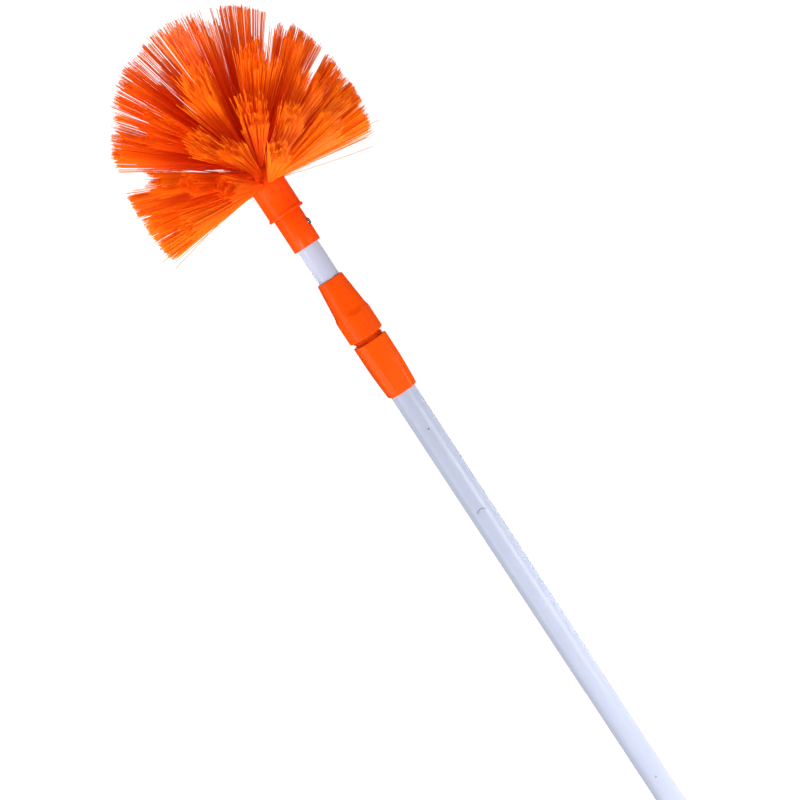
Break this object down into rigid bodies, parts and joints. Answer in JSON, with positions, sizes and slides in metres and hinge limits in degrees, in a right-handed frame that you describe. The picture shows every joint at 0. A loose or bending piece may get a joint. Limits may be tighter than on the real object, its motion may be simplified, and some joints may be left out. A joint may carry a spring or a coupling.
{
  "type": "telescopic cobweb brush",
  "caption": "Round-headed cobweb brush with orange bristles on a telescopic steel pole with a twist lock and a hanging eye.",
  "frame": {"origin": "centre of the hole in the hanging eye at the pole's butt end", "axes": "+Z along the pole towards the brush head, +X along the eye's hole and towards the screw in the tip sleeve"},
  "size_m": [0.2144, 0.2144, 1.146],
  "materials": {
    "pole_enamel": "glossy pale lavender-white powder coat on thin steel tube",
    "orange_moulding": "smooth moulded polypropylene, soft gloss",
    "orange_lock_moulding": "moulded polypropylene grip, satin",
    "bristle_orange": "straight polypropylene filaments, slightly glossy",
    "collet_nylon": "natural nylon, unpainted",
    "bush_plastic": "black polyethylene, matte",
    "screw_steel": "zinc-plated steel",
    "staple_wire": "bright drawn wire"
  },
  "bodies": {
    "outer_pole": {"outer_tube": "pole_enamel", "end_cap": "orange_moulding", "lock_barrel": "orange_lock_moulding"},
    "pole_slide": {"guide_bush": "bush_plastic"},
    "inner_pole": {"inner_tube": "pole_enamel", "bush_plug": "bush_plastic", "tip_sleeve": "orange_moulding", "sleeve_screw": "screw_steel"},
    "brush_head": {"brush_hub": "orange_moulding", "tuft_staples": "staple_wire", "tufts_ring_1": "bristle_orange", "tufts_ring_2": "bristle_orange", "tufts_ring_3": "bristle_orange", "tufts_ring_4": "bristle_orange", "tufts_ring_5": "bristle_orange", "tufts_ring_6": "bristle_orange"},
    "lock_slide": {"grip_collet": "collet_nylon"},
    "lock_ring": {"lock_nut": "orange_lock_moulding"}
  },
  "joints": [
    {"name": "pole_extend", "type": "slide", "parent": "outer_pole", "child": "pole_slide", "axis": [0, 0, 1], "range_m": [-0.031, 0.6]},
    {"name": "pole_turn", "type": "hinge", "parent": "pole_slide", "child": "inner_pole", "pos_m": [0, 0, 0.55], "axis": [0, 0, 1], "continuous": true},
    {"name": "head_off", "type": "slide", "parent": "inner_pole", "child": "brush_head", "axis": [0, 0, 1], "range_m": [0, 0.02]},
    {"name": "lock_travel", "type": "slide", "parent": "outer_pole", "child": "lock_slide", "axis": [0, 0, 1], "range_m": [0, 0.003]},
    {"name": "nut_turn", "type": "hinge", "parent": "lock_slide", "child": "lock_ring", "pos_m": [0, 0, 0.85], "axis": [0, 0, 1], "range_deg": [0, 360]}
  ],
  "couplings": [
    {"joint": "nut_turn", "follows": "lock_travel", "rad_per_m": 2094.4}
  ]
}
